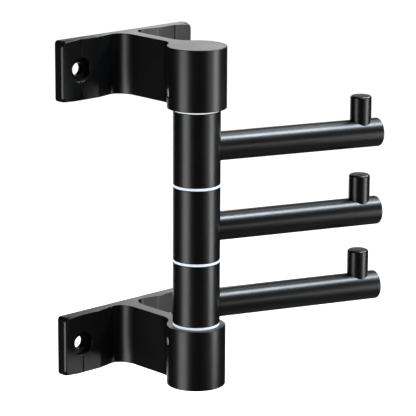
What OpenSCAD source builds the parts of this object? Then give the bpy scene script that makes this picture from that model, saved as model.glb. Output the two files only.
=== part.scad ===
// Wall-mounted towel rack with three swinging arms on one upright spindle.
// Millimetres. X runs along the wall, Y points into the wall, Z is up.
// The wall is the plane Y = 0, and the origin is the middle of the four wall screw holes.

/* [Brackets] */
// Height of each bracket
bracket_h = 25; // [20:0.5:40]
// Width of the wall plate
plate_w = 70; // [64:1:100]
// Thickness of the plate at its raised screw pads
pad_t = 5; // [4.2:0.1:8]
// Thickness of the web that carries the barrel
web_t = 5.4; // [4:0.1:8]
// Radius of the hollow between plate and web
scoop_r = 5.5; // [4:0.1:7.5]
// Thickness of the plate where it is hollowed out beside the web
waist_t = 3.5; // [2.5:0.1:4.5]
// Width of the slope between the hollow and the raised screw pad
slope_w = 2.3; // [0.5:0.1:5]
// Distance from the wall to the spindle axis
axis_out = 46; // [40:0.5:80]
// Diameter of the barrel
barrel_d = 24; // [22:0.5:32]
// Radius of the blend from web to barrel
neck_r = 8; // [3:0.5:10]
// Radius of the plate's four corners
corner_r = 1.4; // [0.5:0.1:4]
// Width of the bevel down the plate's front edges
plate_bevel = 0.5; // [0.2:0.1:1]

/* [Wall screw holes] */
// Diameter of each wall screw hole
screw_hole_d = 5.5; // [4:0.1:7]
// Diameter of the counterbore for the screw head
head_hole_d = 9.8; // [8:0.1:13]
// Depth of the counterbore for the screw head
head_hole_depth = 2.2; // [1:0.1:3]
// Width of the groove down the middle of each pad
groove_w = 0.6; // [0.3:0.1:1.5]

/* [Spindle] */
// Diameter of the spindle
spindle_d = 6; // [5:0.1:7]
// Depth of the blind socket in each barrel
socket_depth = 14; // [11:0.5:17]
// Room left above the spindle in the upper socket
spindle_end_room = 0.5; // [0.2:0.1:2]
// Radial clearance where one piece turns on another
run_gap = 0.05; // [0.02:0.01:0.1]
// Clearance where pieces of one body are seated on each other
seat_gap = 0.03; // [0.01:0.01:0.1]

/* [Set screws] */
// Diameter of the set screws
set_screw_d = 4; // [3:0.5:5]
// Length of the set screws
set_screw_l = 8; // [5:0.5:8.5]
// Distance of the set screw's axis from the barrel's inner face
set_screw_h = 6.5; // [4:0.1:8]
// Width of the set screw's hexagon socket
hex_w = 2; // [1.5:0.5:2.5]
// Depth of the set screw's hexagon socket
hex_depth = 2.5; // [1:0.5:3.5]
// Depth of the ring in the spindle that the set screw grips
grip_depth = 0.3; // [0.1:0.1:0.8]
// Angle of the set screw behind the bracket's side
set_screw_angle = 30; // [0:1:45]

/* [Sleeves] */
// Diameter of the turning sleeves
sleeve_d = 19.2; // [17.5:0.1:22]
// Height of the upper sleeve
upper_sleeve_h = 30.2; // [24:0.1:45]
// Height of the middle sleeve
middle_sleeve_h = 30.2; // [24:0.1:45]
// Height of the lower sleeve
lower_sleeve_h = 25.6; // [20:0.1:45]
// Width of the bevel on the ends of the sleeves
sleeve_bevel = 0.3; // [0.1:0.1:0.8]

/* [Washers and bushes] */
// Thickness of the washers between the sleeves
washer_t = 1; // [0.6:0.1:2]
// How far the washers lie inside the sleeves' outline
washer_inset = 0.1; // [0:0.1:1]
// Wall of the bushes that the sleeves turn on
bush_wall = 1; // [0.7:0.1:1.4]
// Length of each bush
bush_l = 6; // [4:0.5:9]

/* [Arms] */
// Diameter of the arm rods
rod_d = 11.8; // [9:0.1:13]
// Distance from the spindle axis to the rod's outer end
rod_reach = 81.5; // [60:0.5:140]
// Width of the bevel on the rod's outer end
rod_bevel = 0.8; // [0.3:0.1:2]
// Height of the upper rod's axis above the lower end of its sleeve
upper_rod_h = 14.7; // [8:0.1:16]
// Height of the middle rod's axis above the lower end of its sleeve
middle_rod_h = 12.8; // [8:0.1:16]
// Height of the lower rod's axis above the lower end of its sleeve
lower_rod_h = 7.2; // [6.8:0.1:13]
// Angle of the arms out from the line of the wall
arm_angle = 20; // [0:1:90]
// Diameter of the stud that holds the rod to its sleeve
rod_stud_d = 6; // [4:0.5:7]
// Depth of the stud in the rod
rod_stud_depth = 10; // [6:0.5:16]
// Wall left between the stud's hole and the sleeve's bore
stud_floor = 0.6; // [0.4:0.1:2]

/* [Hook pins] */
// Diameter of the hook pins
pin_d = 8.8; // [6:0.1:10.5]
// Height of the hook pin above the top of its rod
pin_rise = 10; // [7:0.5:15]
// Distance from the rod's outer end to the pin's axis
pin_inset = 8.5; // [6.5:0.5:20]
// Width of the bevel on the top of the pin
pin_bevel = 0.7; // [0.2:0.1:1.5]
// Diameter of the stud that holds the pin to its rod
pin_stud_d = 4; // [3:0.5:5]
// Depth of the stud in the rod, and in the pin
pin_stud_depth = 5; // [3:0.5:5.5]

/* [Hidden] */
$fn = 96;

// Overrun of every cut past the face that it opens
over = 1;
// Straight pieces in each round stretch of the bracket's outline
arc_steps = 12;
// How far the blend's end is tucked into the barrel
neck_tuck = 0.05;
// Bevel on the ends of the spindle, as a share of its diameter
spindle_bevel_share = 0.12;
// Diameter of the set screw's point, as a share of its diameter
point_share = 0.6;
// Length of the grip ring, as a share of the set screw's diameter
grip_share = 1.25;
// Bevel on the ends of the studs, as a share of their diameter
stud_bevel_share = 0.1;

black = [0.09, 0.09, 0.1];
steel = [0.72, 0.72, 0.74];
nylon = [0.94, 0.95, 0.96];

barrel_r = barrel_d / 2;
spindle_r = spindle_d / 2;
sleeve_r = sleeve_d / 2;
rod_r = rod_d / 2;

// The order of the sleeves in these lists is upper, middle, lower.
sleeve_hs = [upper_sleeve_h, middle_sleeve_h, lower_sleeve_h];
rod_hs = [upper_rod_h, middle_rod_h, lower_rod_h];
sleeve_count = len(sleeve_hs);

// Height of the sleeves and washers between the two brackets
stack_h = sum_from(sleeve_hs, 0) + (sleeve_count + 1) * washer_t;
stack_top = stack_h / 2;
stack_bottom = -stack_h / 2;

// Each bush fills the sleeve's bore, and turns on the spindle.
bush_bore_r = spindle_r + run_gap;
bush_r = bush_bore_r + bush_wall;
sleeve_bore_r = bush_r + seat_gap;
washer_r = sleeve_r - washer_inset;

// Each raised pad fills the plate out from the hollow and its slope, with the screw hole in its middle.
pad_inner_x = web_t / 2 + 2 * scoop_r + slope_w;
screw_x = (plate_w / 2 + pad_inner_x) / 2;

// Places along an arm, from the spindle axis
stud_tip_x = sleeve_bore_r + stud_floor;
pin_x = rod_reach - pin_inset;

// Sum of a list from one index to its end
function sum_from(list, i) = i < len(list) ? list[i] + sum_from(list, i + 1) : 0;

// Lower end of a sleeve, and of the washer that lies on it
function sleeve_z(i) =
    stack_bottom + sum_from(sleeve_hs, i + 1) + (sleeve_count - i) * washer_t;
function washer_z(i) = i < sleeve_count ? sleeve_z(i) + sleeve_hs[i] : stack_bottom;

// Points along a round stretch
function arc(centre, r, from, to) = [
    for (i = [0:arc_steps])
        let (a = from + (to - from) * i / arc_steps)
            centre + r * [cos(a), sin(a)]
];

function flipped(points) = [
    for (i = [len(points) - 1:-1:0]) [-points[i][0], points[i][1]]
];

// One half of the bracket's plan, from the wall to the inside of the barrel
function half_plan() =
    let (
        scoop = [web_t / 2 + scoop_r, -waist_t - scoop_r],
        pad_corner = [pad_inner_x, -pad_t],
        reach = pad_corner - scoop,
        scoop_start = atan2(reach[1], reach[0]) + acos(scoop_r / norm(reach)),
        neck_x = web_t / 2 + neck_r,
        neck_rise = sqrt(pow(barrel_r + neck_r, 2) - pow(neck_x, 2)),
        neck_angle = atan2(neck_rise, neck_x)
    )
    concat(
        [
            [plate_w / 2, 0],
            [plate_w / 2, plate_bevel - pad_t],
            [plate_w / 2 - plate_bevel, -pad_t],
            [screw_x + groove_w / 2, -pad_t],
            [screw_x, groove_w / 2 - pad_t],
            [screw_x - groove_w / 2, -pad_t],
            pad_corner,
        ],
        arc(scoop, scoop_r, scoop_start, 180),
        arc([neck_x, neck_rise - axis_out], neck_r, 180, 180 + neck_angle),
        [
            [
                (barrel_r - neck_tuck) * cos(neck_angle),
                (barrel_r - neck_tuck) * sin(neck_angle) - axis_out,
            ],
            [0, -axis_out],
        ]
    );

// Cut that rounds one corner of the wall plate, with the corner at the origin
module corner_cut() {
    rotate([90, 0, 0])
        difference() {
            translate([-corner_r, -corner_r, -over])
                cube([corner_r + over, corner_r + over, pad_t + 2 * over]);
            translate([-corner_r, -corner_r, -2 * over])
                cylinder(r = corner_r, h = pad_t + 4 * over);
        }
}

// Stepped hole for one wall screw, seen from the front of the pad
module screw_hole() {
    rotate([90, 0, 0]) {
        translate([0, 0, -over])
            cylinder(d = screw_hole_d, h = pad_t + 2 * over);
        translate([0, 0, pad_t - head_hole_depth])
            cylinder(d = head_hole_d, h = head_hole_depth + over);
    }
}

// Places its children on the set screw's axis, with Z out from the spindle
module on_set_screw_axis() {
    translate([0, -axis_out, set_screw_h])
        rotate([0, 0, 180 - set_screw_angle])
            rotate([0, 90, 0])
                children();
}

// A bracket whose inner face is at Z = 0 and whose closed outer face is above it
module bracket() {
    color(black)
        difference() {
            union() {
                linear_extrude(bracket_h)
                    polygon(concat(half_plan(), flipped(half_plan())));
                translate([0, -axis_out, 0])
                    cylinder(r = barrel_r, h = bracket_h);
            }
            for (side = [0, 1])
                mirror([side, 0, 0]) {
                    translate([plate_w / 2, 0, bracket_h])
                        corner_cut();
                    translate([plate_w / 2, 0, 0])
                        mirror([0, 0, 1])
                            corner_cut();
                    translate([screw_x, 0, bracket_h / 2])
                        screw_hole();
                }
            translate([0, -axis_out, -over])
                cylinder(r = spindle_r + seat_gap, h = socket_depth + over);
            on_set_screw_axis()
                cylinder(d = set_screw_d + 2 * seat_gap, h = barrel_r + over);
        }
}

// A round bar that stands on Z = 0, with a bevel on each end
module bevelled_bar(r, h, bottom_bevel, top_bevel) {
    rotate_extrude()
        polygon([
            [0, 0],
            [r - bottom_bevel, 0],
            [r, bottom_bevel],
            [r, h - top_bevel],
            [r - top_bevel, h],
            [0, h],
        ]);
}

module set_screw() {
    tip_x = spindle_r - grip_depth + seat_gap;
    point_bevel = set_screw_d * (1 - point_share) / 2;
    color(steel)
        on_set_screw_axis()
            translate([0, 0, tip_x])
                difference() {
                    bevelled_bar(
                        set_screw_d / 2, set_screw_l, point_bevel, set_screw_d * stud_bevel_share
                    );
                    translate([0, 0, set_screw_l - hex_depth])
                        cylinder(d = hex_w / cos(30), h = hex_depth + over, $fn = 6);
                }
}

// The grip rings lie at the height of the two set screws.
module spindle_body() {
    length = stack_h + 2 * socket_depth - spindle_end_room;
    bevel = spindle_d * spindle_bevel_share;
    grip_l = set_screw_d * grip_share;
    color(steel)
        translate([0, -axis_out, stack_bottom - socket_depth])
            difference() {
                bevelled_bar(spindle_r, length, bevel, bevel);
                for (z = [socket_depth - set_screw_h, socket_depth + stack_h + set_screw_h])
                    translate([0, 0, z - grip_l / 2])
                        difference() {
                            cylinder(r = spindle_r + over, h = grip_l);
                            translate([0, 0, -over])
                                cylinder(r = spindle_r - grip_depth, h = grip_l + 2 * over);
                        }
            }
}

module washer(i) {
    color(nylon)
        translate([0, -axis_out, washer_z(i)])
            difference() {
                cylinder(r = washer_r, h = washer_t);
                translate([0, 0, -over])
                    cylinder(r = bush_bore_r, h = washer_t + 2 * over);
            }
}

// Places its children at the lower end of a sleeve, with X out along its arm
module on_arm(i) {
    translate([0, -axis_out, sleeve_z(i)])
        rotate([0, 0, -arm_angle])
            children();
}

// Places its children on a rod's axis, with Z out along the rod
module on_rod_axis(i) {
    on_arm(i)
        translate([0, 0, rod_hs[i]])
            rotate([0, 90, 0])
                children();
}

module sleeve(i) {
    color(black)
        difference() {
            on_arm(i)
                bevelled_bar(sleeve_r, sleeve_hs[i], sleeve_bevel, sleeve_bevel);
            on_arm(i)
                translate([0, 0, -over])
                    cylinder(r = sleeve_bore_r, h = sleeve_hs[i] + 2 * over);
            on_rod_axis(i)
                translate([0, 0, stud_tip_x - seat_gap])
                    cylinder(d = rod_stud_d + 2 * seat_gap, h = sleeve_r);
        }
}

// A bush at the lower end of a sleeve's bore, or at its upper end
module bush(i, at_top) {
    color(nylon)
        on_arm(i)
            translate([0, 0, at_top ? sleeve_hs[i] - bush_l : 0])
                difference() {
                    cylinder(r = bush_r, h = bush_l);
                    translate([0, 0, -over])
                        cylinder(r = bush_bore_r, h = bush_l + 2 * over);
                }
}

module rod(i) {
    color(black)
        difference() {
            on_rod_axis(i)
                bevelled_bar(rod_r, rod_reach, 0, rod_bevel);
            on_arm(i)
                translate([0, 0, rod_hs[i] - rod_r - over])
                    cylinder(r = sleeve_r + seat_gap, h = rod_d + 2 * over);
            on_rod_axis(i)
                cylinder(
                    d = rod_stud_d + 2 * seat_gap,
                    h = sleeve_r + rod_stud_depth + seat_gap
                );
            on_arm(i)
                translate([pin_x, 0, rod_hs[i] + rod_r - pin_stud_depth - seat_gap])
                    cylinder(d = pin_stud_d + 2 * seat_gap, h = pin_stud_depth + over);
        }
}

module rod_stud(i) {
    bevel = rod_stud_d * stud_bevel_share;
    color(steel)
        on_rod_axis(i)
            translate([0, 0, stud_tip_x])
                bevelled_bar(
                    rod_stud_d / 2, sleeve_r + rod_stud_depth - stud_tip_x, bevel, bevel
                );
}

// The pin's foot is hollowed to sit on the round of its rod.
module hook_pin(i) {
    color(black)
        difference() {
            on_arm(i)
                translate([pin_x, 0, rod_hs[i]])
                    bevelled_bar(pin_d / 2, rod_r + pin_rise, 0, pin_bevel);
            on_rod_axis(i)
                translate([0, 0, pin_x - pin_d])
                    cylinder(r = rod_r + seat_gap, h = 2 * pin_d);
            on_arm(i)
                translate([pin_x, 0, rod_hs[i]])
                    cylinder(
                        d = pin_stud_d + 2 * seat_gap,
                        h = rod_r + pin_stud_depth + seat_gap
                    );
        }
}

module pin_stud(i) {
    bevel = pin_stud_d * stud_bevel_share;
    color(steel)
        on_arm(i)
            translate([pin_x, 0, rod_hs[i] + rod_r - pin_stud_depth])
                bevelled_bar(pin_stud_d / 2, 2 * pin_stud_depth, bevel, bevel);
}

module upper_bracket() {
    translate([0, 0, stack_top])
        bracket();
}

module lower_bracket() {
    mirror([0, 0, 1])
        translate([0, 0, -stack_bottom])
            bracket();
}

module upper_set_screw() {
    translate([0, 0, stack_top])
        set_screw();
}

module lower_set_screw() {
    mirror([0, 0, 1])
        translate([0, 0, -stack_bottom])
            set_screw();
}

upper_bracket();
lower_bracket();
spindle_body();  // spindle
upper_set_screw();
lower_set_screw();
washer(0);  // top_washer
washer(1);  // upper_middle_washer
washer(2);  // lower_middle_washer
washer(3);  // bottom_washer

sleeve(0);  // upper_sleeve
bush(0, true);  // upper_sleeve_top_bush
bush(0, false);  // upper_sleeve_bottom_bush
rod(0);  // upper_rod
rod_stud(0);  // upper_rod_stud
hook_pin(0);  // upper_hook_pin
pin_stud(0);  // upper_pin_stud

sleeve(1);  // middle_sleeve
bush(1, true);  // middle_sleeve_top_bush
bush(1, false);  // middle_sleeve_bottom_bush
rod(1);  // middle_rod
rod_stud(1);  // middle_rod_stud
hook_pin(1);  // middle_hook_pin
pin_stud(1);  // middle_pin_stud

sleeve(2);  // lower_sleeve
bush(2, true);  // lower_sleeve_top_bush
bush(2, false);  // lower_sleeve_bottom_bush
rod(2);  // lower_rod
rod_stud(2);  // lower_rod_stud
hook_pin(2);  // lower_hook_pin
pin_stud(2);  // lower_pin_stud
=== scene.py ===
import math

import bmesh
import bpy
from mathutils import Matrix, Vector


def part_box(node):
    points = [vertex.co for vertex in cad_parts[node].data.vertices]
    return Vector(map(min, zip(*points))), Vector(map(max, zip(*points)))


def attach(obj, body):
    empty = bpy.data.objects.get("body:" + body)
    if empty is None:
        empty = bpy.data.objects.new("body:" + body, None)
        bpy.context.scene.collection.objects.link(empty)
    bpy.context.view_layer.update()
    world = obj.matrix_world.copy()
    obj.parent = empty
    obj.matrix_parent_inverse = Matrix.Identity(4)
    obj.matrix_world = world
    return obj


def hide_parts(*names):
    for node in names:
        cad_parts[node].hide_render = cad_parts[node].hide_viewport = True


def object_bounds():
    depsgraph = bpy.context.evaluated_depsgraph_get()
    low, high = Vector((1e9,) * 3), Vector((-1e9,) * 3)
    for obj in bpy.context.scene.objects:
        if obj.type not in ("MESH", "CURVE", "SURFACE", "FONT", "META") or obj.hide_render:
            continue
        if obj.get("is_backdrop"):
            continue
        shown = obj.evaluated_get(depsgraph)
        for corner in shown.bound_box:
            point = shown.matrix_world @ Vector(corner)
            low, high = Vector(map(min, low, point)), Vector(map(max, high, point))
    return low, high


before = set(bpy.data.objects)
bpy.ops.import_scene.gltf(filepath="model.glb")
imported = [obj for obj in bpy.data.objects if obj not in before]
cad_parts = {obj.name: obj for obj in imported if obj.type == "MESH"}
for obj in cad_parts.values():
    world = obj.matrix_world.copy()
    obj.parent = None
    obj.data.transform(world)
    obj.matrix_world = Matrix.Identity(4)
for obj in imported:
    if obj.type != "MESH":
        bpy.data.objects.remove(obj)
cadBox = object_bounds()
mm = 0.001
quarterTurn, fullTurn = math.pi / 2, 2 * math.pi
zAxis = Vector((0, 0, 1))
overrun = 1 * mm                    # how far a cutter reaches past the face that it cuts
samePoint = 1e-7                    # points nearer than this are one point
hair = 0.001 * mm                   # the same for points that a cut or a mirror has moved
sharpAngle = math.radians(40)       # an edge above this is rounded over
creaseAngle = math.radians(48)      # an edge above this stays crisp in the shading
arms = ("upper", "middle", "lower")
print("frame loaded:", len(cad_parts), "nodes")


def vertsIn(geom):
    return [g for g in geom if isinstance(g, bmesh.types.BMVert)]


def facesIn(geom):
    return [g for g in geom if isinstance(g, bmesh.types.BMFace)]


def lineTo(bm, vert, x, y):
    # draws one straight edge on from the last point of an outline
    made = bmesh.ops.extrude_vert_indiv(bm, verts=[vert])["verts"][0]
    bmesh.ops.translate(bm, verts=[made], vec=Vector((x, y, 0)) - made.co)
    return made


def arcTo(bm, vert, centre, turn, steps):
    # draws an arc on from the last point; turn is in radians, anticlockwise when positive
    made = bmesh.ops.spin(bm, geom=[vert], cent=(centre[0], centre[1], 0), axis=zAxis,
                          angle=turn, steps=steps, use_duplicate=False)
    return vertsIn(made["geom_last"])[0]


def turned(section, segments):
    # a closed section of (radius, height) points is spun round the Z axis
    bm = bmesh.new()
    verts = [bm.verts.new((r, 0, z)) for r, z in section]
    sides = zip(verts, verts[1:] + verts[:1])
    edges = [bm.edges.new(side) for side in sides if any(v.co.x > 0 for v in side)]
    bmesh.ops.spin(bm, geom=verts + edges, cent=(0, 0, 0), axis=zAxis, angle=fullTurn,
                   steps=segments, use_merge=True)
    bmesh.ops.remove_doubles(bm, verts=bm.verts, dist=samePoint)
    bmesh.ops.recalc_face_normals(bm, faces=bm.faces)
    return bm


def roundBar(radius, start, end, segments):
    return turned([(0, start), (radius, start), (radius, end), (0, end)], segments)


def tube(bore, radius, tall, segments):
    return turned([(bore, 0), (radius, 0), (radius, tall), (bore, tall)], segments)


def soften(bm, width, segments, chosen=lambda e: True):
    # rounds over the sharp edges that chosen() picks
    edges = [e for e in bm.edges if len(e.link_faces) == 2
             and e.calc_face_angle(0) > sharpAngle and chosen(e)]
    bmesh.ops.bevel(bm, geom=edges, offset=width, offset_type="OFFSET", segments=segments,
                    profile=0.5, affect="EDGES", clamp_overlap=True, material=-1)
    return bm


def place(bm, matrix):
    bmesh.ops.transform(bm, matrix=matrix, verts=bm.verts)
    return bm


def toObject(bm, name):
    mesh = bpy.data.meshes.new(name)
    bm.to_mesh(mesh)
    bm.free()
    made = bpy.data.objects.new(name, mesh)
    bpy.context.scene.collection.objects.link(made)
    return made


def closeSeams(mesh):
    # joins points that a cut left on top of each other, so that every seam is closed
    bm = bmesh.new()
    bm.from_mesh(mesh)
    bmesh.ops.remove_doubles(bm, verts=bm.verts, dist=2 * hair)
    bmesh.ops.dissolve_degenerate(bm, dist=hair, edges=bm.edges)
    bmesh.ops.recalc_face_normals(bm, faces=bm.faces)
    bm.to_mesh(mesh)
    bm.free()


def cutOut(piece, cutters):
    # takes the cutters out of the piece one by one, and keeps the finished mesh
    for cutter in cutters:
        tool = toObject(cutter, "cutter")
        cut = piece.modifiers.new("cut", "BOOLEAN")
        cut.operation = "DIFFERENCE"
        cut.solver = "EXACT"
        cut.object = tool
        bpy.context.view_layer.update()
        shaped = bpy.data.meshes.new_from_object(
            piece.evaluated_get(bpy.context.evaluated_depsgraph_get()))
        piece.modifiers.clear()
        old = piece.data
        piece.data = shaped
        shaped.name = piece.name
        closeSeams(shaped)
        bpy.data.meshes.remove(old)
        bpy.data.meshes.remove(tool.data)
    return piece


def finishPiece(piece, material, body, node):
    # smooth shading with crisp edges, then the finish and the body; the CAD node that the piece
    # stands for is hidden
    piece.data.shade_smooth()
    piece.data.set_sharp_from_angle(angle=creaseAngle)
    shading = piece.modifiers.new("evenShading", "WEIGHTED_NORMAL")
    shading.keep_sharp = True
    piece.data.materials.clear()
    piece.data.materials.append(material)
    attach(piece, body)
    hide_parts(node)


def newMaterial(name):
    made = bpy.data.materials.new(name)
    made.use_nodes = True
    return made, made.node_tree, made.node_tree.nodes["Principled BSDF"].inputs


def onSurface(tree):
    # the place on the piece, in metres, which every pattern reads
    return tree.nodes.new("ShaderNodeTexCoord").outputs["Object"]


def squeezed(tree, where, scale):
    made = tree.nodes.new("ShaderNodeMapping")
    made.inputs["Scale"].default_value = scale
    tree.links.new(where, made.inputs["Vector"])
    return made.outputs["Vector"]


def noise(tree, where, scale, detail=2):
    made = tree.nodes.new("ShaderNodeTexNoise")
    made.inputs["Scale"].default_value = scale
    made.inputs["Detail"].default_value = detail
    tree.links.new(where, made.inputs["Vector"])
    return made.outputs["Fac"]


def blended(tree, pattern, first, second):
    # one colour where the pattern is 0 and the other where it is 1
    made = tree.nodes.new("ShaderNodeMix")
    made.data_type = "RGBA"
    made.inputs["A"].default_value = (*first, 1)
    made.inputs["B"].default_value = (*second, 1)
    tree.links.new(pattern, made.inputs["Factor"])
    return made.outputs["Result"]


def ranged(tree, pattern, result, between=(0, 1)):
    # turns a pattern that runs between two values into one that runs over the result's two
    made = tree.nodes.new("ShaderNodeMapRange")
    made.inputs["From Min"].default_value, made.inputs["From Max"].default_value = between
    made.inputs["To Min"].default_value, made.inputs["To Max"].default_value = result
    tree.links.new(pattern, made.inputs["Value"])
    return made.outputs["Result"]


def relief(tree, pattern, depth, onto=None):
    # a fine bump of this depth, which may lie on another one
    made = tree.nodes.new("ShaderNodeBump")
    made.inputs["Distance"].default_value = depth
    tree.links.new(pattern, made.inputs["Height"])
    if onto is not None:
        tree.links.new(onto, made.inputs["Normal"])
    return made.outputs["Normal"]


anodised = {
    "colour": (0.0025, 0.0025, 0.0028), "colourWorn": (0.0045, 0.0045, 0.005),
    "roughness": (0.31, 0.35),
    "blotchScale": 60, "blotchDetail": 3,                   # soft uneven patches, per metre
    "blotchBetween": (0.3, 0.7),
    "grainScale": 4200, "grainDepth": 0.0015 * mm,          # fine etched grain
    "drawScale": 900, "drawDepth": 0.001 * mm,              # faint drawing lines along a bar
}


def blackAnodised(name, stretch):
    # stretch squeezes the drawing lines along one axis, so that they run along the stock
    made, tree, skin = newMaterial(name)
    where = onSurface(tree)
    blotch = noise(tree, where, anodised["blotchScale"], anodised["blotchDetail"])
    grain = noise(tree, where, anodised["grainScale"])
    lines = noise(tree, squeezed(tree, where, stretch), anodised["drawScale"])
    colour = blended(tree, blotch, anodised["colour"], anodised["colourWorn"])
    rough = ranged(tree, blotch, anodised["roughness"], anodised["blotchBetween"])
    drawn = relief(tree, lines, anodised["drawDepth"])
    tree.links.new(colour, skin["Base Color"])
    tree.links.new(rough, skin["Roughness"])
    tree.links.new(relief(tree, grain, anodised["grainDepth"], drawn), skin["Normal"])
    return made


steel = {
    "turned": {"colour": (0.62, 0.62, 0.64), "colourDull": (0.42, 0.42, 0.43),
               "roughness": (0.22, 0.4), "metal": 1},
    "plated": {"colour": (0.86, 0.86, 0.88), "colourDull": (0.74, 0.74, 0.76),
               "roughness": (0.42, 0.55), "metal": 0.5},
    "turnScale": 2500, "turnDetail": 3,                     # marks left by the lathe
    "turnStretch": (0.15, 0.15, 1), "turnDepth": 0.004 * mm,
}


def steelFinish(name, look):
    made, tree, skin = newMaterial(name)
    where = squeezed(tree, onSurface(tree), steel["turnStretch"])
    turn = noise(tree, where, steel["turnScale"], steel["turnDetail"])
    colour = blended(tree, turn, look["colourDull"], look["colour"])
    tree.links.new(colour, skin["Base Color"])
    tree.links.new(ranged(tree, turn, look["roughness"]), skin["Roughness"])
    tree.links.new(relief(tree, turn, steel["turnDepth"]), skin["Normal"])
    skin["Metallic"].default_value = look["metal"]
    return made


nylon = {
    "colour": (0.66, 0.71, 0.76), "colourCloudy": (0.62, 0.67, 0.72),
    "cloudScale": 350, "cloudDetail": 3,
    "roughness": 0.45, "skinScale": 3000, "skinDepth": 0.006 * mm,
    "glow": 0.84,                                           # painted glow: the washers give out light of their own, so they show white also in the barrel's shade
    "inside": 0.15, "insideDepth": 0.5 * mm,                # light that scatters under the skin
}


def whiteNylon():
    made, tree, skin = newMaterial("whiteNylon")
    where = onSurface(tree)
    cloud = noise(tree, where, nylon["cloudScale"], nylon["cloudDetail"])
    colour = blended(tree, cloud, nylon["colourCloudy"], nylon["colour"])
    fine = relief(tree, noise(tree, where, nylon["skinScale"]), nylon["skinDepth"])
    tree.links.new(colour, skin["Base Color"])
    # painted glow: the nylon's colour is also given out as light, which no lamp casts
    tree.links.new(colour, skin["Emission Color"])
    tree.links.new(fine, skin["Normal"])
    skin["Roughness"].default_value = nylon["roughness"]
    skin["Emission Strength"].default_value = nylon["glow"]
    skin["Subsurface Weight"].default_value = nylon["inside"]
    skin["Subsurface Scale"].default_value = nylon["insideDepth"]
    return made


uprightBlack = blackAnodised("blackAnodisedUpright", (1, 1, 0.03))      # brackets and sleeves
rodBlack = blackAnodised("blackAnodisedRod", (0.06, 0.06, 1))           # rods lie level
pinBlack = blackAnodised("blackAnodisedPin", (1, 1, 0.03))
turnedSteel = steelFinish("turnedSteel", steel["turned"])
platedSteel = steelFinish("platedSteel", steel["plated"])
nylonFinish = whiteNylon()
print("finishes made")


bracket = {
    "plateWidth": 70 * mm, "padThick": 5 * mm, "padInner": 16 * mm, "waist": 3.5 * mm,
    "padRound": 4 * mm, "padSteps": 4,
    "grooveAt": 25.5 * mm, "grooveWidth": 0.6 * mm,
    "webThick": 5.4 * mm, "scoopRadius": 5.5 * mm, "scoopSteps": 4,
    "flareLength": 7.8 * mm, "flareSteps": 24,
    "neckRadius": 8 * mm, "neckSteps": 14,
    "barrelRadius": 12 * mm, "barrelSteps": 64, "axisOut": 46 * mm,
    "cornerRadius": 1.4 * mm, "cornerSteps": 12, "edgeRound": 0.2 * mm, "edgeSteps": 3,
    # wall screw holes
    "holeRadius": 2.75 * mm, "holeRim": 0.3 * mm, "holeSegments": 96,
    "headRadius": 4.9 * mm, "headDepth": 2.2 * mm,
    # the spindle's blind socket and the set screw's hole
    "socketRadius": 3.03 * mm, "socketDepth": 14 * mm, "socketSegments": 64,
    "screwRadius": 2.03 * mm, "screwHeight": 6.5 * mm, "screwAngle": 30, "screwRim": 0.2 * mm,
}
eased = {   # the edge round the end of each screw pad: a long flat, then a small round
    "flat": (0.28 * mm, 0.77 * mm),     # how far it goes in from the end, and back from the face
    "round": 0.456 * mm, "roundSteps": 6, "roundTo": math.radians(78),
    "tail": (0.28 * mm, 0.06 * mm),     # the last faint slope into the face
    "corner": 2.6 * mm, "from": 24 * mm, "lift": 0.66 * mm,
    "support": 0.1, "runOut": 2.2,      # shares of the flat, beyond its two ends
}


def bracketOutline(bm):
    # half of the extruded section, from the middle of the back round to the front of the barrel
    b = bracket
    half = b["webThick"] / 2
    scoop = Vector((half + b["scoopRadius"], -b["waist"] - b["scoopRadius"]))
    reach = Vector((b["padInner"], -b["padThick"])) - scoop
    startAngle = math.atan2(reach.y, reach.x) + math.acos(b["scoopRadius"] / reach.length)
    slope = quarterTurn - startAngle
    neckX = half + b["neckRadius"]
    neckRise = math.sqrt((b["barrelRadius"] + b["neckRadius"]) ** 2 - neckX ** 2)
    neckTurn = math.atan2(neckRise, neckX)
    edge = b["plateWidth"] / 2

    pen = lineTo(bm, bm.verts.new((0, 0, 0)), edge, 0)
    pen = lineTo(bm, pen, edge, -b["padThick"])
    padRun = b["padRound"] * math.tan(slope / 2)
    pen = lineTo(bm, pen, b["padInner"] + padRun, -b["padThick"])
    pen = arcTo(bm, pen, (b["padInner"] + padRun, b["padRound"] - b["padThick"]), -slope,
                b["padSteps"])
    pen = lineTo(bm, pen, scoop.x + b["scoopRadius"] * math.cos(startAngle),
                 scoop.y + b["scoopRadius"] * math.sin(startAngle))
    pen = arcTo(bm, pen, scoop, slope, b["scoopSteps"])
    # the hollow runs out into the web in a long easy curve
    for i in range(1, b["flareSteps"] + 1):
        part = i / b["flareSteps"] * math.pi / 2
        pen = lineTo(bm, pen, scoop.x - b["scoopRadius"] * math.sin(part),
                     -b["waist"] - b["flareLength"] * (1 - math.cos(part)))
    pen = lineTo(bm, pen, half, neckRise - b["axisOut"])
    pen = arcTo(bm, pen, (neckX, neckRise - b["axisOut"]), neckTurn, b["neckSteps"])
    arcTo(bm, pen, (0, -b["axisOut"]), -(quarterTurn + neckTurn), b["barrelSteps"])
    bmesh.ops.mirror(bm, geom=bm.verts[:] + bm.edges[:], axis="X", merge_dist=hair)
    bmesh.ops.remove_doubles(bm, verts=bm.verts, dist=samePoint)


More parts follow.
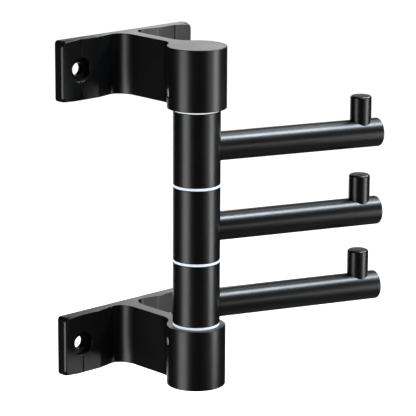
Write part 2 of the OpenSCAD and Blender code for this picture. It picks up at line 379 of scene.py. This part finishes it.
def bracketBlank(low, high):
    # the section raised to the bracket's height, with its plate's corners and edges rounded
    b = bracket
    bm = bmesh.new()
    bracketOutline(bm)
    face = bmesh.ops.contextual_create(bm, geom=bm.edges[:])["faces"]
    raised = bmesh.ops.extrude_face_region(bm, geom=face)["geom"]
    bmesh.ops.translate(bm, verts=vertsIn(raised), vec=(0, 0, high - low))
    place(bm, Matrix.Translation((0, 0, low)))
    bmesh.ops.recalc_face_normals(bm, faces=bm.faces)
    end = b["plateWidth"] / 2 - hair
    ends = [e for e in bm.edges if all(abs(v.co.x) > end for v in e.verts)
            and abs(e.verts[0].co.z - e.verts[1].co.z) < hair]
    bmesh.ops.bevel(bm, geom=ends, offset=b["cornerRadius"], offset_type="OFFSET",
                    segments=b["cornerSteps"], profile=0.5, affect="EDGES", clamp_overlap=False,
                    material=-1)
    return soften(bm, b["edgeRound"], b["edgeSteps"])


def easedSection():
    # what the eased edge takes off, as (out past the end, back from the face) points
    out, back = eased["flat"]
    lean = math.atan2(out, back)
    r = eased["round"]
    depth = r * (1 - math.sin(lean)) + back
    middle = Vector((-out - r * math.cos(lean), r))
    section = [(overrun, depth + eased["runOut"] * back),
               (eased["runOut"] * out, depth + eased["runOut"] * back),
               (-eased["support"] * out, depth - eased["support"] * back)]
    for i in range(eased["roundSteps"] + 1):
        angle = lean + i / eased["roundSteps"] * (eased["roundTo"] - lean)
        section.append((middle.x + r * math.cos(angle), middle.y - r * math.sin(angle)))
    last, tail = section[-1], eased["tail"]
    return section + [(last[0] - tail[0], last[1] - tail[1]), (last[0] - tail[0], -overrun),
                      (overrun, -overrun)]


def easedEdge(sign, low, high):
    # the cutter comes in from above the plate, runs round its end and leaves below it
    bm = bmesh.new()
    start, lift, corner = eased["from"], eased["lift"], eased["corner"]
    right = bracket["plateWidth"] / 2 - corner
    face = bm.faces.new([bm.verts.new((start, back - bracket["padThick"], high + lift + out))
                         for out, back in easedSection()])

    def onward(move, pivot=None):
        # runs the section on, straight by move or through a quarter turn about pivot
        nonlocal face
        old = face
        if pivot is None:
            made = bmesh.ops.extrude_face_region(bm, geom=[old])["geom"]
            bmesh.ops.translate(bm, verts=vertsIn(made), vec=move)
        else:
            made = bmesh.ops.spin(bm, geom=[old], cent=pivot, axis=(0, 1, 0), angle=quarterTurn,
                                  steps=bracket["cornerSteps"])["geom_last"]
        face = facesIn(made)[0]
        if old.is_valid and any(len(e.link_faces) > 2 for e in old.edges):
            bmesh.ops.delete(bm, geom=[old], context="FACES_ONLY")

    onward((right - start, 0, -lift))
    onward(None, (right, 0, high - corner))
    onward((0, 0, low - high + 2 * corner))
    onward(None, (right, 0, low + corner))
    onward((start - right, 0, -lift))
    if sign < 0:
        place(bm, Matrix.Diagonal((-1, 1, 1, 1)))
    bmesh.ops.remove_doubles(bm, verts=bm.verts, dist=samePoint)
    bmesh.ops.recalc_face_normals(bm, faces=bm.faces)
    return bm


def grooveCutter(sign, low, high):
    # a square bar on its corner leaves the fine V groove down the middle of a pad
    side = bracket["grooveWidth"] / math.sqrt(2)
    bm = bmesh.new()
    bmesh.ops.create_cube(bm, size=1)
    return place(bm, Matrix.Translation((sign * bracket["grooveAt"], -bracket["padThick"],
                                         (low + high) / 2))
                 @ Matrix.Rotation(math.pi / 4, 4, "Z")
                 @ Matrix.Diagonal((side, side, high - low + 2 * overrun, 1)))


def wallHoleCutter(sign, low, high):
    # a wall screw's hole, its counterbore and the counterbore's bevelled rim
    b = bracket
    floorAt, face = b["padThick"] - b["headDepth"], b["padThick"]
    bm = turned([(0, -overrun), (b["holeRadius"], -overrun), (b["holeRadius"], floorAt),
                 (b["headRadius"], floorAt), (b["headRadius"], face - b["holeRim"]),
                 (b["headRadius"] + b["holeRim"] + overrun, face + overrun),
                 (0, face + overrun)], b["holeSegments"])
    return place(bm, Matrix.Translation((sign * b["grooveAt"], 0, (low + high) / 2))
                 @ Matrix.Rotation(quarterTurn, 4, "X"))


def socketCutter(sign, inner):
    bm = roundBar(bracket["socketRadius"], -overrun, bracket["socketDepth"],
                  bracket["socketSegments"])
    place(bm, Matrix.Translation((0, -bracket["axisOut"], inner))
          @ Matrix.Diagonal((1, 1, sign, 1)))
    bmesh.ops.recalc_face_normals(bm, faces=bm.faces)
    return bm


def onScrewAxis(sign, inner):
    # Z runs out from the spindle along the set screw
    b = bracket
    return (Matrix.Translation((0, -b["axisOut"], inner + sign * b["screwHeight"]))
            @ Matrix.Rotation(math.radians(180 - b["screwAngle"]), 4, "Z")
            @ Matrix.Rotation(quarterTurn, 4, "Y"))


def screwHoleCutter(sign, inner):
    b = bracket
    bm = turned([(0, 0), (b["screwRadius"], 0),
                 (b["screwRadius"], b["barrelRadius"] - b["screwRim"]),
                 (b["screwRadius"] + 2 * b["screwRim"], b["barrelRadius"] + b["screwRim"]),
                 (0, b["barrelRadius"] + b["screwRim"])], b["socketSegments"])
    return place(bm, onScrewAxis(sign, inner))


def innerEnd(name, sign):
    # the height of the barrel's end that faces the sleeves
    low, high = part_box(name)
    return low.z if sign > 0 else high.z


brackets = {"upper": 1, "lower": -1}    # which way each bracket's barrel goes on from the sleeves

for which, sign in brackets.items():
    name = which + "_bracket"
    low, high = (corner.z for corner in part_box(name))
    cutters = [easedEdge(side, low, high) for side in (-1, 1)]
    cutters += [grooveCutter(side, low, high) for side in (-1, 1)]
    cutters += [wallHoleCutter(side, low, high) for side in (-1, 1)]
    inner = innerEnd(name, sign)
    cutters += [socketCutter(sign, inner), screwHoleCutter(sign, inner)]
    piece = cutOut(toObject(bracketBlank(low, high), name + "Piece"), cutters)
    finishPiece(piece, uprightBlack, "root", name)
    print("bracket made:", name)


setScrew = {
    "radius": 2 * mm, "tip": 2.73 * mm, "length": 9.1 * mm, "pointBevel": 0.8 * mm,
    "endBevel": 0.4 * mm, "hexWidth": 2 * mm, "hexDepth": 2.5 * mm,
    "edgeRound": 0.06 * mm, "edgeSteps": 2, "segments": 48,
}

for which, sign in brackets.items():
    name = which + "_set_screw"
    s = setScrew
    top = s["tip"] + s["length"]
    bm = turned([(0, s["tip"]), (s["radius"] - s["pointBevel"], s["tip"]),
                 (s["radius"], s["tip"] + s["pointBevel"]), (s["radius"], top - s["endBevel"]),
                 (s["radius"] - s["endBevel"], top), (0, top)], s["segments"])
    soften(bm, s["edgeRound"], s["edgeSteps"])
    key = bmesh.new()
    bmesh.ops.create_cone(key, cap_ends=True, segments=6, radius1=s["hexWidth"] / math.sqrt(3),
                          radius2=s["hexWidth"] / math.sqrt(3), depth=2 * s["hexDepth"])
    place(key, Matrix.Translation((0, 0, top)))
    piece = cutOut(toObject(bm, name + "Piece"), [key])
    piece.data.transform(onScrewAxis(sign, innerEnd(which + "_bracket", sign)))
    finishPiece(piece, platedSteel, "root", name)
print("set screws made")


washer = {"boreRadius": 3.05 * mm, "edgeRound": 0.12 * mm, "edgeSteps": 2, "segments": 128}

for name in ("top_washer", "upper_middle_washer", "lower_middle_washer", "bottom_washer"):
    low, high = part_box(name)
    bm = tube(washer["boreRadius"], (high.x - low.x) / 2, high.z - low.z, washer["segments"])
    soften(bm, washer["edgeRound"], washer["edgeSteps"])
    place(bm, Matrix.Translation((0, -bracket["axisOut"], low.z)))
    finishPiece(toObject(bm, name + "Piece"), nylonFinish, "root", name)
print("washers made")


armAngle = math.radians(-20)
rodHeight = {"upper": 28.5 * mm, "middle": -4.6 * mm, "lower": -36.8 * mm}
sleeve = {
    "radius": 9.6 * mm, "boreRadius": 4.08 * mm, "segments": 144,
    "edgeRound": 0.3 * mm, "edgeSteps": 3,
    "studHoleRadius": 3.03 * mm, "studHoleFrom": 4.65 * mm, "studHoleSegments": 48,
}


def onArm(height, along=0):
    # X runs out along the arm from the spindle's axis
    return (Matrix.Translation((0, -bracket["axisOut"], height))
            @ Matrix.Rotation(armAngle, 4, "Z") @ Matrix.Translation((along, 0, 0)))


def onRod(height):
    # Z runs out along the rod
    return onArm(height) @ Matrix.Rotation(quarterTurn, 4, "Y")


for arm in arms:
    name = arm + "_sleeve"
    low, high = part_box(name)
    bm = tube(sleeve["boreRadius"], sleeve["radius"], high.z - low.z, sleeve["segments"])
    wallMiddle = (sleeve["boreRadius"] + sleeve["radius"]) / 2
    soften(bm, sleeve["edgeRound"], sleeve["edgeSteps"],
           lambda e: e.verts[0].co.xy.length > wallMiddle)
    place(bm, onArm(low.z))
    stud = roundBar(sleeve["studHoleRadius"], sleeve["studHoleFrom"],
                    sleeve["radius"] + 2 * overrun, sleeve["studHoleSegments"])
    piece = cutOut(toObject(bm, name + "Piece"), [place(stud, onRod(rodHeight[arm]))])
    finishPiece(piece, uprightBlack, arm + "_arm", name)
print("sleeves made")


rod = {
    "radius": 5.9 * mm, "reach": 81.5 * mm, "edgeRound": 0.9 * mm, "roundSteps": 5,
    "segments": 128, "copeRadius": 9.63 * mm, "copeSegments": 144,
    "studRadius": 3.03 * mm, "studTo": 19.63 * mm, "studSegments": 48,
    "pinAt": 73 * mm, "pinStudRadius": 2.03 * mm, "pinStudFrom": 0.87 * mm,
}

for arm in arms:
    name = arm + "_rod"
    level = onArm(rodHeight[arm])
    bm = roundBar(rod["radius"], 0, rod["reach"], rod["segments"])
    soften(bm, rod["edgeRound"], rod["roundSteps"], lambda e: e.verts[0].co.z > rod["reach"] / 2)
    place(bm, onRod(rodHeight[arm]))
    # the end is hollowed to sit on the sleeve, and drilled for the two studs
    cope = roundBar(rod["copeRadius"], -2 * rod["radius"], 2 * rod["radius"], rod["copeSegments"])
    stud = roundBar(rod["studRadius"], 0, rod["studTo"], rod["studSegments"])
    pinStud = roundBar(rod["pinStudRadius"], rod["pinStudFrom"], 2 * rod["radius"],
                       rod["studSegments"])
    piece = cutOut(toObject(bm, name + "Piece"),
                   [place(cope, level), place(stud, onRod(rodHeight[arm])),
                    place(pinStud, onArm(rodHeight[arm], rod["pinAt"]))])
    finishPiece(piece, rodBlack, arm + "_arm", name)
print("rods made")


hookPin = {
    "radius": 4.4 * mm, "rise": 10 * mm, "edgeRound": 0.9 * mm, "roundSteps": 6, "segments": 96,
    "copeRadius": 5.93 * mm, "copeReach": 9 * mm, "copeSegments": 128,
    "studRadius": 2.03 * mm, "studTo": 10.93 * mm, "studSegments": 48,
}

for arm in arms:
    name = arm + "_hook_pin"
    upright = onArm(rodHeight[arm], rod["pinAt"])
    top = rod["radius"] + hookPin["rise"]
    bm = roundBar(hookPin["radius"], 0, top, hookPin["segments"])
    soften(bm, hookPin["edgeRound"], hookPin["roundSteps"], lambda e: e.verts[0].co.z > top / 2)
    # the foot is hollowed to sit on the rod, and drilled for its stud
    cope = roundBar(hookPin["copeRadius"], rod["pinAt"] - hookPin["copeReach"],
                    rod["pinAt"] + hookPin["copeReach"], hookPin["copeSegments"])
    stud = roundBar(hookPin["studRadius"], 0, hookPin["studTo"], hookPin["studSegments"])
    piece = cutOut(toObject(place(bm, upright), name + "Piece"),
                   [place(cope, onRod(rodHeight[arm])), place(stud, upright)])
    finishPiece(piece, pinBlack, arm + "_arm", name)
print("hook pins made")


# the pieces inside keep their CAD shape and get a finish
innerFinish = {"spindle": turnedSteel}
for arm in arms:
    innerFinish[arm + "_rod_stud"] = turnedSteel
    innerFinish[arm + "_pin_stud"] = turnedSteel
    innerFinish[arm + "_sleeve_top_bush"] = nylonFinish
    innerFinish[arm + "_sleeve_bottom_bush"] = nylonFinish
for name, material in innerFinish.items():
    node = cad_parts[name]
    node.data.materials.clear()
    node.data.materials.append(material)
print("inner pieces finished")


studio = {
    "floorBelow": 0.25, "floorSize": 16, "floorColour": (0.92, 0.92, 0.92), "floorGlow": 1.09,
    "domeRadius": 7, "domeDetail": 4, "domeColour": (1, 1, 1), "domeGlow": 1,
    "roughness": 0.9,
    "worldGlow": (0.02, 0.02, 0.021),
}
softboxes = {
    # azimuth and height in degrees seen from the barrel, distance, width and height in metres,
    # brightness, colour
    "leftBox": (-95.5, -13.5, 0.45, 0.25, 0.36, 4.0, (1, 1, 1)),
    "rightBox": (33.5, -8, 0.45, 0.165, 0.26, 6.9, (1, 1, 1)),
    "topBox": (41, 62, 1.0, 0.26, 0.26, 47, (0.86, 0.93, 1)),
    "shoulderBox": (98, 57, 0.45, 0.225, 0.17, 3.0, (0.9, 0.95, 1)),
    "edgeBox": (77, 41, 1.0, 0.2, 0.2, 70, (1, 1, 1)),
    "frontBox": (7, -3, 1.0, 0.22, 0.18, 3.2, (1, 1, 1)),
    "backBox": (140, 12, 1.6, 2.0, 0.5, 0.55, (1, 1, 1)),
    "nearBackBox": (138.7, 16.7, 0.418, 0.085, 0.18, 1.5, (1, 1, 1)),
    "lowBox": (60, -65, 0.6, 0.7, 0.5, 0.16, (1, 1, 1)),
    "wallBox": (158, -17, 0.6, 0.25, 0.22, 1.6, (1, 1, 1)),
}


def backdrop(bm, name, colour, glow):
    # it shows to the camera alone, so that only the softboxes light the rack
    made, tree, skin = newMaterial(name)
    skin["Base Color"].default_value = (*colour, 1)
    skin["Roughness"].default_value = studio["roughness"]
    skin["Emission Color"].default_value = (*colour, 1)
    skin["Emission Strength"].default_value = glow
    item = toObject(bm, name)
    item.data.materials.append(made)
    item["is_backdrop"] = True
    item.visible_glossy = False
    item.visible_diffuse = False
    item.visible_shadow = False


bm = bmesh.new()
bmesh.ops.create_grid(bm, x_segments=1, y_segments=1, size=studio["floorSize"] / 2)
place(bm, Matrix.Translation((0, 0, cadBox[0].z - studio["floorBelow"])))
backdrop(bm, "floor", studio["floorColour"], studio["floorGlow"])
bm = bmesh.new()
bmesh.ops.create_icosphere(bm, subdivisions=studio["domeDetail"], radius=studio["domeRadius"])
bmesh.ops.reverse_faces(bm, faces=bm.faces)
backdrop(bm, "paleDome", studio["domeColour"], studio["domeGlow"])

world = bpy.data.worlds.new("studioWorld")
world.use_nodes = True
world.node_tree.nodes["Background"].inputs["Color"].default_value = (*studio["worldGlow"], 1)
world.node_tree.nodes["Background"].inputs["Strength"].default_value = 1
bpy.context.scene.world = world

centre = Vector((0, -bracket["axisOut"], 0))
for name, (azimuth, height, distance, width, tall, glow, colour) in softboxes.items():
    a, h = math.radians(azimuth), math.radians(height)
    away = Vector((math.sin(a) * math.cos(h), -math.cos(a) * math.cos(h), math.sin(h)))
    lamp = bpy.data.lights.new(name, "AREA")
    lamp.shape = "RECTANGLE"
    lamp.size, lamp.size_y = width, tall
    lamp.color = colour
    lamp.energy = math.pi * width * tall * glow
    item = bpy.data.objects.new(name, lamp)
    item.location = centre + away * distance
    item.rotation_euler = (-away).to_track_quat("-Z", "Y").to_euler()
    item.visible_camera = False
    bpy.context.scene.collection.objects.link(item)
print("studio lit")


camera = {
    "place": (-0.6375, -0.7317, 0.2391), "azimuth": 43.197, "elevation": 14.114, "roll": 0.283,
    "lens": 207.67, "sensor": 36, "nearest": 0.05, "farthest": 60,
}
a, e = math.radians(camera["azimuth"]), math.radians(camera["elevation"])
back = Vector((-math.sin(a) * math.cos(e), -math.cos(a) * math.cos(e), math.sin(e)))
right = Vector((math.cos(a), -math.sin(a), 0))
turn = Matrix((right, back.cross(right), back)).transposed()
lens = bpy.data.cameras.new("camera")
lens.lens, lens.sensor_width = camera["lens"], camera["sensor"]
lens.clip_start, lens.clip_end = camera["nearest"], camera["farthest"]
shot = bpy.data.objects.new("camera", lens)
shot.matrix_world = (Matrix.Translation(camera["place"]) @ turn.to_4x4()
                     @ Matrix.Rotation(math.radians(camera["roll"]), 4, "Z"))
bpy.context.scene.collection.objects.link(shot)
bpy.context.scene.camera = shot
bpy.context.scene.view_settings.view_transform = "Standard"
print("camera set")

low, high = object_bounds()
